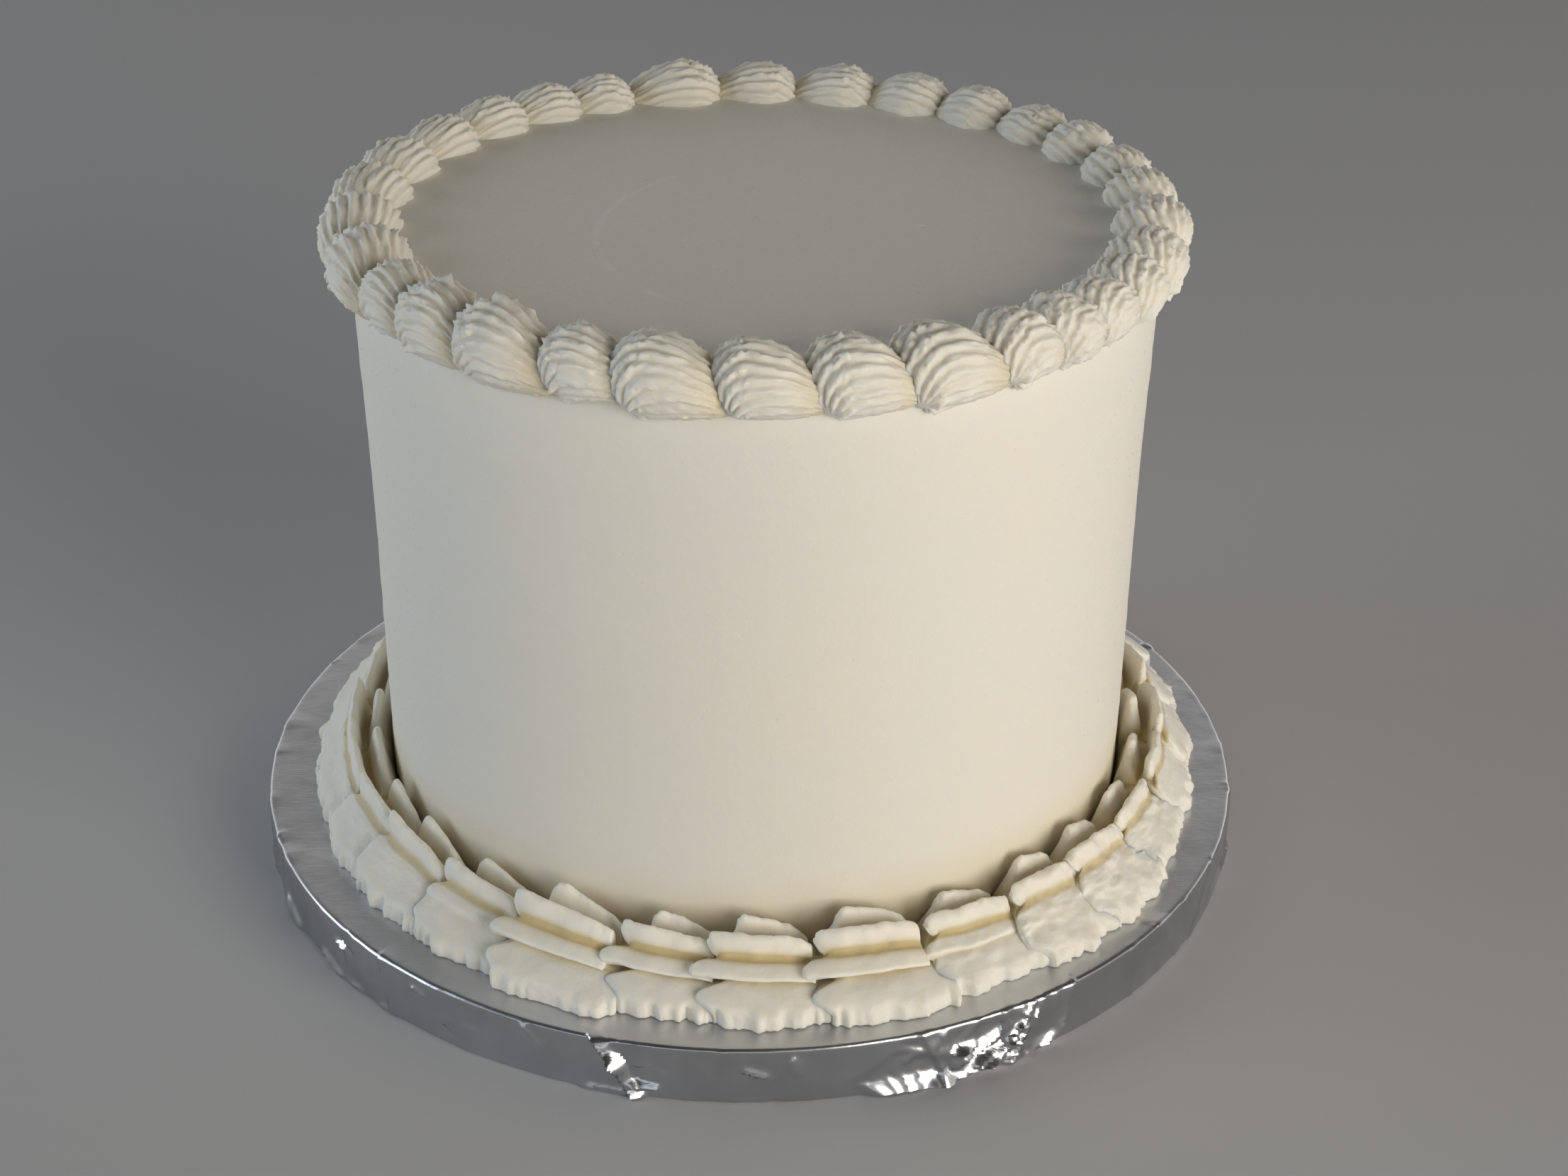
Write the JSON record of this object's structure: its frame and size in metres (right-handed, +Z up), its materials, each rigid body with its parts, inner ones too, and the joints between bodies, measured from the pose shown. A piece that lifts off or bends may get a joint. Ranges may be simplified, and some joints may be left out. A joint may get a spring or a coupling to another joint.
{
  "type": "iced cake on a foil-covered board",
  "caption": "Round single-tier cake with smooth pale icing, a piped shell border on its top edge and a piped ruffle border round its foot, on a round foil-covered board.",
  "frame": {"origin": "centre of the board's underside", "axes": "+Z up through the cake, -Y towards the side that the picture shows"},
  "size_m": [0.2026, 0.2022, 0.1394],
  "materials": {
    "foil": "silver foil wrapped by hand, satin on top, glossy and creased at the rim",
    "cake_icing": "buttercream smoothed by hand, matt, slightly translucent",
    "shell_icing": "piped buttercream with fine torn ridges, matt with small moist glints",
    "ruffle_icing": "piped buttercream petals with ragged edges, matt, slightly translucent"
  },
  "bodies": {
    "root": {"board": "foil", "cake_body": "cake_icing", "top_shell_border": "shell_icing", "foot_ruffle_border": "ruffle_icing"}
  },
  "joints": []
}
